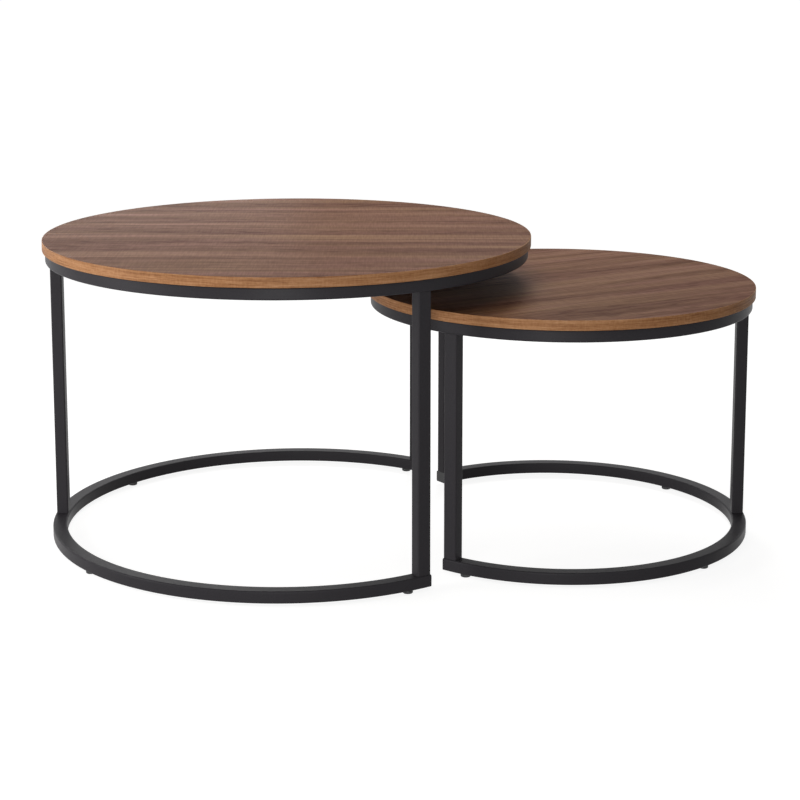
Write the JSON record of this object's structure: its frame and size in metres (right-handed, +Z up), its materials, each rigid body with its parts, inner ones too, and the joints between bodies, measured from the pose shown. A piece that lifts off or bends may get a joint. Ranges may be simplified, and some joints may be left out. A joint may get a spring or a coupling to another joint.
{
  "type": "nesting tables",
  "caption": "Round nesting coffee tables: wood-look boards on black tube frames, each with legs and a base ring open to the other table.",
  "frame": {"origin": "on the floor, under the middle of the pair's overall length as it stands", "axes": "+X from the large table's axis to the small table's, +Z up, front at -Y"},
  "size_m": [1.096, 0.75, 0.47],
  "materials": {
    "walnut_face": "matt walnut-look foil on board",
    "walnut_edge": "satin walnut-look edge band, grain along the edge",
    "black_coat": "fine-textured black powder coat on steel tube",
    "black_plastic": "moulded black plastic",
    "zinc_steel": "bright zinc plate"
  },
  "bodies": {
    "large_table": {"large_top_board": "walnut_face", "large_edge_band": "walnut_edge", "large_upper_ring": "black_coat", "large_base_ring": "black_coat", "large_leg_side": "black_coat", "large_leg_front": "black_coat", "large_leg_rear": "black_coat", "large_upper_bolt_side": "zinc_steel", "large_lower_bolt_side": "zinc_steel", "large_upper_bolt_front": "zinc_steel", "large_lower_bolt_front": "zinc_steel", "large_upper_bolt_rear": "zinc_steel", "large_lower_bolt_rear": "zinc_steel", "large_ring_cap_front": "black_plastic", "large_ring_cap_rear": "black_plastic", "large_glide_nut_end_front": "zinc_steel", "large_glide_nut_end_rear": "zinc_steel", "large_glide_nut_side_front": "zinc_steel", "large_glide_nut_side_rear": "zinc_steel", "large_top_screw_1": "zinc_steel", "large_top_screw_2": "zinc_steel", "large_top_screw_3": "zinc_steel", "large_top_screw_4": "zinc_steel", "large_top_screw_5": "zinc_steel", "large_top_screw_6": "zinc_steel"},
    "small_table": {"small_top_board": "walnut_face", "small_edge_band": "walnut_edge", "small_upper_ring": "black_coat", "small_base_ring": "black_coat", "small_leg_side": "black_coat", "small_leg_front": "black_coat", "small_leg_rear": "black_coat", "small_upper_bolt_side": "zinc_steel", "small_lower_bolt_side": "zinc_steel", "small_upper_bolt_front": "zinc_steel", "small_lower_bolt_front": "zinc_steel", "small_upper_bolt_rear": "zinc_steel", "small_lower_bolt_rear": "zinc_steel", "small_ring_cap_front": "black_plastic", "small_ring_cap_rear": "black_plastic", "small_glide_nut_end_front": "zinc_steel", "small_glide_nut_end_rear": "zinc_steel", "small_glide_nut_side_front": "zinc_steel", "small_glide_nut_side_rear": "zinc_steel", "small_top_screw_1": "zinc_steel", "small_top_screw_2": "zinc_steel", "small_top_screw_3": "zinc_steel", "small_top_screw_4": "zinc_steel", "small_top_screw_5": "zinc_steel", "small_top_screw_6": "zinc_steel"},
    "large_glide_end_front": {"large_glide_end_front": "black_plastic"},
    "large_glide_end_rear": {"large_glide_end_rear": "black_plastic"},
    "large_glide_side_front": {"large_glide_side_front": "black_plastic"},
    "large_glide_side_rear": {"large_glide_side_rear": "black_plastic"},
    "small_glide_end_front": {"small_glide_end_front": "black_plastic"},
    "small_glide_end_rear": {"small_glide_end_rear": "black_plastic"},
    "small_glide_side_front": {"small_glide_side_front": "black_plastic"},
    "small_glide_side_rear": {"small_glide_side_rear": "black_plastic"}
  },
  "joints": [
    {"name": "nest_slide", "type": "slide", "parent": "large_table", "child": "small_table", "axis": [1, 0, 0], "range_m": [-0.115, 0.252]},
    {"name": "large_glide_end_front_screw", "type": "hinge", "parent": "large_table", "child": "large_glide_end_front", "pos_m": [0.01115, -0.30875, 0], "axis": [0, 0, -1], "range_deg": [0, 1440]},
    {"name": "large_glide_end_rear_screw", "type": "hinge", "parent": "large_table", "child": "large_glide_end_rear", "pos_m": [0.01115, 0.30875, 0], "axis": [0, 0, -1], "range_deg": [0, 1440]},
    {"name": "large_glide_side_front_screw", "type": "hinge", "parent": "large_table", "child": "large_glide_side_front", "pos_m": [-0.45435, -0.22379, 0], "axis": [0, 0, -1], "range_deg": [0, 1440]},
    {"name": "large_glide_side_rear_screw", "type": "hinge", "parent": "large_table", "child": "large_glide_side_rear", "pos_m": [-0.45435, 0.22379, 0], "axis": [0, 0, -1], "range_deg": [0, 1440]},
    {"name": "small_glide_end_front_screw", "type": "hinge", "parent": "small_table", "child": "small_glide_end_front", "pos_m": [0.09604, -0.23869, 0], "axis": [0, 0, -1], "range_deg": [0, 1440]},
    {"name": "small_glide_end_rear_screw", "type": "hinge", "parent": "small_table", "child": "small_glide_end_rear", "pos_m": [0.09604, 0.23869, 0], "axis": [0, 0, -1], "range_deg": [0, 1440]},
    {"name": "small_glide_side_front_screw", "type": "hinge", "parent": "small_table", "child": "small_glide_side_front", "pos_m": [0.44947, -0.20047, 0], "axis": [0, 0, -1], "range_deg": [0, 1440]},
    {"name": "small_glide_side_rear_screw", "type": "hinge", "parent": "small_table", "child": "small_glide_side_rear", "pos_m": [0.44947, 0.20047, 0], "axis": [0, 0, -1], "range_deg": [0, 1440]}
  ]
}
